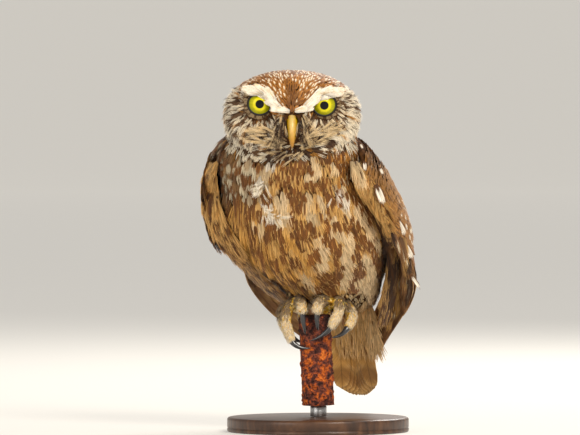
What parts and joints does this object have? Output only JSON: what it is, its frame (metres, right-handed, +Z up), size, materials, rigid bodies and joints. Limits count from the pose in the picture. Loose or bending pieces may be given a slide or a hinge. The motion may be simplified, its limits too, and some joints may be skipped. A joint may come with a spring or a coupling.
{
  "type": "little owl model",
  "caption": "Still, life-size little owl gripping the end of a rusty iron rod, its body turned aside and its face to the front, on a small round stand.",
  "frame": {"origin": "centre of the underside of the stand's round base", "axes": "+Z up, -Y the way the face looks, +X to the bird's left"},
  "size_m": [0.1181, 0.1232, 0.1997],
  "materials": {
    "plumage_brown": "matt brown feathers with pale spots",
    "plumage_buff": "soft buff feathers streaked with brown",
    "plumage_face": "soft whitish and brown face feathers",
    "eye_iris": "wet gloss, yellow with a black pupil",
    "bill_horn": "smooth yellow horn",
    "toe_skin": "pale bristly toes",
    "claw_horn": "glossy black horn",
    "rusty_iron": "flaking orange and brown rust",
    "stand_steel": "plain brushed steel",
    "stand_wood": "dark satin wood"
  },
  "bodies": {
    "root": {"bill_lower": "bill_horn", "bill_upper": "bill_horn", "claw_left_hallux": "claw_horn", "claw_left_inner": "claw_horn", "claw_left_middle": "claw_horn", "claw_left_outer": "claw_horn", "claw_right_hallux": "claw_horn", "claw_right_inner": "claw_horn", "claw_right_middle": "claw_horn", "claw_right_outer": "claw_horn", "eye_left": "eye_iris", "eye_right": "eye_iris", "foot_left": "toe_skin", "foot_right": "toe_skin", "head": "plumage_face", "leg_left": "plumage_buff", "leg_right": "plumage_buff", "neck": "plumage_buff", "perch_rod": "rusty_iron", "stand_base": "stand_wood", "stand_rod": "stand_steel", "tail": "plumage_brown", "torso": "plumage_buff", "wing_left": "plumage_brown", "wing_right": "plumage_brown"}
  },
  "joints": []
}
